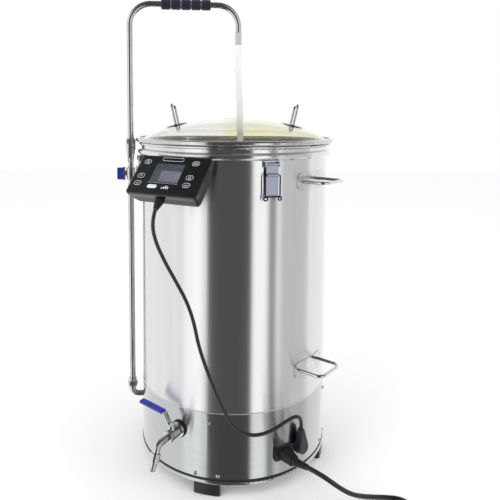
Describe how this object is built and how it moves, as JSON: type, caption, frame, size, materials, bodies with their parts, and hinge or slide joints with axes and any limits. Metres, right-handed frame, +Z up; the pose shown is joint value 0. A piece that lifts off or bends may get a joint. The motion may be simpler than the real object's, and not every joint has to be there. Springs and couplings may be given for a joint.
{
  "type": "electric brew kettle",
  "caption": "Upright electric brewing kettle: steel vessel on a pumped, heated base, riser pipe with swing-over arm, domed glass lid, drain tap and tilted control box.",
  "frame": {"origin": "on the kettle axis at the height the feet stand on", "axes": "+Z up along the kettle axis, -Y the front that the drain tap and control box face, +X to the right seen from the front"},
  "size_m": [0.6108, 0.6373, 0.9772],
  "materials": {
    "brushed_steel": "fine brushed stainless steel",
    "polished_steel": "polished stainless steel",
    "cast_steel": "machined stainless fitting",
    "black_gloss": "glossy black moulding",
    "black_moulded": "black moulded plastic",
    "black_rubber": "matt black rubber",
    "black_foam": "soft black foam",
    "blue_vinyl": "soft blue vinyl sleeve",
    "screen_grey": "grey screen behind a clear pane",
    "lid_glass": "clear toughened glass",
    "white_silicone": "milky silicone tube",
    "cord_pvc": "matt black cord jacket",
    "plug_grey": "dark grey moulded plug",
    "element": "dark heating ring"
  },
  "bodies": {
    "kettle": {"base_plate": "polished_steel", "base_screws": "polished_steel", "base_skirt": "polished_steel", "cam_coupler": "cast_steel", "cam_plug": "cast_steel", "clip_brackets": "brushed_steel", "controller_bottom_shell": "black_moulded", "controller_bracket": "brushed_steel", "controller_cable": "cord_pvc", "controller_connector": "plug_grey", "controller_display": "screen_grey", "controller_gland": "black_rubber", "controller_top_shell": "black_gloss", "feet": "black_moulded", "grip_beads": "black_foam", "grip_rings": "blue_vinyl", "heater_rings": "element", "mains_coil": "cord_pvc", "mains_connector": "black_rubber", "mains_cord": "cord_pvc", "outlet_elbow": "cast_steel", "pump": "black_moulded", "pump_hoses": "white_silicone", "recirculation_arm": "polished_steel", "riser_pipe": "polished_steel", "riser_valve_body": "cast_steel", "rubber_seals": "black_rubber", "side_handles": "brushed_steel", "silicone_hose": "white_silicone", "tap_body": "cast_steel", "tap_collar": "cast_steel", "tap_spout": "polished_steel", "union_nut": "cast_steel", "vessel": "brushed_steel", "wall_plug": "black_rubber", "wall_sockets": "black_moulded"},
    "lid": {"lid_glass": "lid_glass", "lid_rim": "brushed_steel", "lid_handles": "polished_steel"},
    "clip_lever_1": {"clip_lever_1": "brushed_steel"},
    "clip_bail_1": {"clip_bail_1": "polished_steel"},
    "clip_lever_2": {"clip_lever_2": "brushed_steel"},
    "clip_bail_2": {"clip_bail_2": "polished_steel"},
    "clip_lever_3": {"clip_lever_3": "brushed_steel"},
    "clip_bail_3": {"clip_bail_3": "polished_steel"},
    "clip_lever_4": {"clip_lever_4": "brushed_steel"},
    "clip_bail_4": {"clip_bail_4": "polished_steel"},
    "tap_lever": {"tap_lever": "brushed_steel", "tap_lever_sleeve": "blue_vinyl"},
    "riser_lever": {"riser_valve_lever": "brushed_steel", "riser_lever_sleeve": "blue_vinyl"},
    "cam_arm_front": {"cam_arm_front": "brushed_steel"},
    "cam_arm_rear": {"cam_arm_rear": "brushed_steel"},
    "button_menu": {"button_menu": "black_gloss"},
    "button_up": {"button_up": "black_gloss"},
    "button_down": {"button_down": "black_gloss"},
    "button_start": {"button_start": "black_gloss"},
    "button_power": {"button_power": "black_gloss"},
    "button_enter": {"button_enter": "black_gloss"},
    "impeller": {"pump_impeller": "white_silicone"}
  },
  "joints": [
    {"name": "lid_lift", "type": "slide", "parent": "kettle", "child": "lid", "axis": [0, 0, 1], "range_m": [0, 0.15]},
    {"name": "clip_lever_1_swing", "type": "hinge", "parent": "kettle", "child": "clip_lever_1", "pos_m": [0.06978, -0.19488, 0.645], "axis": [-0.9415, -0.3371, 0], "range_deg": [0, 90]},
    {"name": "clip_bail_1_swing", "type": "hinge", "parent": "clip_lever_1", "child": "clip_bail_1", "pos_m": [0.07086, -0.1979, 0.625], "axis": [-0.9415, -0.3371, 0], "range_deg": [0, 60]},
    {"name": "clip_lever_2_swing", "type": "hinge", "parent": "kettle", "child": "clip_lever_2", "pos_m": [0.19488, 0.06978, 0.645], "axis": [0.3371, -0.9415, 0], "range_deg": [0, 90]},
    {"name": "clip_bail_2_swing", "type": "hinge", "parent": "clip_lever_2", "child": "clip_bail_2", "pos_m": [0.1979, 0.07086, 0.625], "axis": [0.3371, -0.9415, 0], "range_deg": [0, 60]},
    {"name": "clip_lever_3_swing", "type": "hinge", "parent": "kettle", "child": "clip_lever_3", "pos_m": [-0.06978, 0.19488, 0.645], "axis": [0.9415, 0.3371, 0], "range_deg": [0, 90]},
    {"name": "clip_bail_3_swing", "type": "hinge", "parent": "clip_lever_3", "child": "clip_bail_3", "pos_m": [-0.07086, 0.1979, 0.625], "axis": [0.9415, 0.3371, 0], "range_deg": [0, 60]},
    {"name": "clip_lever_4_swing", "type": "hinge", "parent": "kettle", "child": "clip_lever_4", "pos_m": [-0.19488, -0.06978, 0.645], "axis": [-0.3371, 0.9415, 0], "range_deg": [0, 90]},
    {"name": "clip_bail_4_swing", "type": "hinge", "parent": "clip_lever_4", "child": "clip_bail_4", "pos_m": [-0.1979, -0.07086, 0.625], "axis": [-0.3371, 0.9415, 0], "range_deg": [0, 60]},
    {"name": "tap_turn", "type": "hinge", "parent": "kettle", "child": "tap_lever", "pos_m": [-0.11704, -0.19099, 0.122], "axis": [0, 0, 1], "range_deg": [0, 90]},
    {"name": "riser_valve_turn", "type": "hinge", "parent": "kettle", "child": "riser_lever", "pos_m": [-0.22215, -0.01944, 0.6075], "axis": [-0.9962, -0.0872, 0], "range_deg": [0, 90]},
    {"name": "cam_arm_front_swing", "type": "hinge", "parent": "kettle", "child": "cam_arm_front", "pos_m": [-0.22097, -0.03298, 0.677], "axis": [-0.9962, -0.0872, 0], "range_deg": [0, 100]},
    {"name": "cam_arm_rear_swing", "type": "hinge", "parent": "kettle", "child": "cam_arm_rear", "pos_m": [-0.22334, -0.00589, 0.677], "axis": [0.9962, 0.0872, 0], "range_deg": [0, 100]},
    {"name": "button_menu_press", "type": "slide", "parent": "kettle", "child": "button_menu", "axis": [0.3739, 0.6529, -0.6587], "range_m": [0, 0.0008], "stiffness_N_per_m": 400, "springref_m": -0.0005},
    {"name": "button_up_press", "type": "slide", "parent": "kettle", "child": "button_up", "axis": [0.3739, 0.6529, -0.6587], "range_m": [0, 0.0008], "stiffness_N_per_m": 400, "springref_m": -0.0005},
    {"name": "button_down_press", "type": "slide", "parent": "kettle", "child": "button_down", "axis": [0.3739, 0.6529, -0.6587], "range_m": [0, 0.0008], "stiffness_N_per_m": 400, "springref_m": -0.0005},
    {"name": "button_start_press", "type": "slide", "parent": "kettle", "child": "button_start", "axis": [0.3739, 0.6529, -0.6587], "range_m": [0, 0.0008], "stiffness_N_per_m": 400, "springref_m": -0.0005},
    {"name": "button_power_press", "type": "slide", "parent": "kettle", "child": "button_power", "axis": [0.3739, 0.6529, -0.6587], "range_m": [0, 0.0008], "stiffness_N_per_m": 400, "springref_m": -0.0005},
    {"name": "button_enter_press", "type": "slide", "parent": "kettle", "child": "button_enter", "axis": [0.3739, 0.6529, -0.6587], "range_m": [0, 0.0008], "stiffness_N_per_m": 400, "springref_m": -0.0005},
    {"name": "impeller_spin", "type": "hinge", "parent": "kettle", "child": "impeller", "pos_m": [-0.06, 0.04, 0.0905], "axis": [0, 0, 1], "continuous": true}
  ]
}
